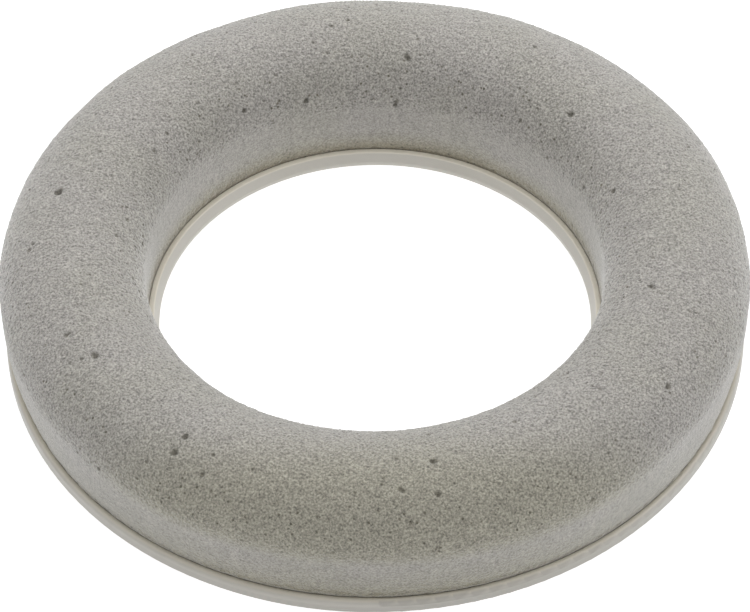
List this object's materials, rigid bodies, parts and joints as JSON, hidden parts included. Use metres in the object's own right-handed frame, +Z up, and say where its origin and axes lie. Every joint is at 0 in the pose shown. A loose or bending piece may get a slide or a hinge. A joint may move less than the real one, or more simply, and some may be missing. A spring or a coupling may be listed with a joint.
{
  "type": "floral foam ring",
  "caption": "Round ring of dry floral foam with a rounded crown, glued into a shallow moulded tray with inner and outer lips.",
  "frame": {"origin": "on the table at the middle of the hole", "axes": "+Z up through the hole, the ring lying flat"},
  "size_m": [0.2506, 0.2506, 0.0445],
  "materials": {
    "tray_plastic": "smooth off-white moulded plastic, slightly satin",
    "dry_foam": "dry rigid open-cell foam, grey-brown, coarse pitted crown, finer walls",
    "glue": "hot melt adhesive, slightly cloudy"
  },
  "bodies": {
    "root": {"base_tray": "tray_plastic", "foam_ring": "dry_foam", "outer_glue_bead": "glue", "inner_glue_bead": "glue"}
  },
  "joints": []
}
